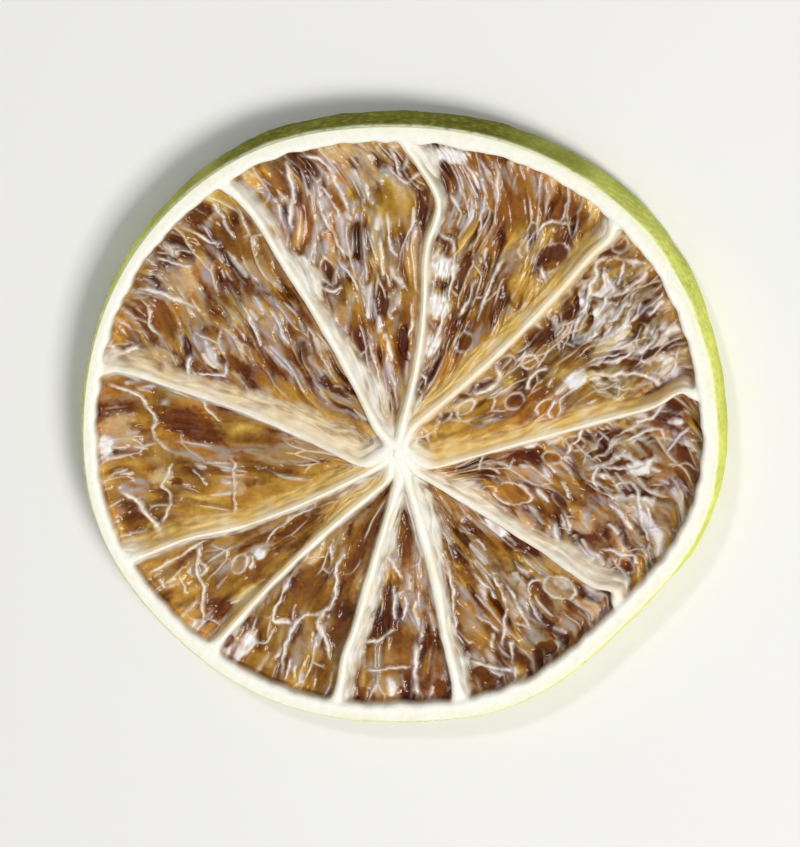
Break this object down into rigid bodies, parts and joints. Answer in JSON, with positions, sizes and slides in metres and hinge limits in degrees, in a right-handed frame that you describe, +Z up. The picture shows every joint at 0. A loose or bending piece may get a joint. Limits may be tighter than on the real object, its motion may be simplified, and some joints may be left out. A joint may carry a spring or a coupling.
{
  "type": "dried lime slice",
  "caption": "Thin round of dried lime: a rind ring round sunken, wrinkled pulp, with bent membrane walls running out from an off-centre core.",
  "frame": {"origin": "under the middle of the slice's outline, on the surface that it lies on", "axes": "+Z up, out of the shown cut face; +Y towards the top of the slice in the picture; +X to the right there"},
  "size_m": [0.048, 0.0464, 0.0038],
  "materials": {
    "flesh": "glossy brown pulp film, dried and wrinkled, between matt cream walls",
    "rind": "pebbled green skin over matt cream-white pith"
  },
  "bodies": {
    "root": {"lime_slice": "flesh"}
  },
  "joints": []
}
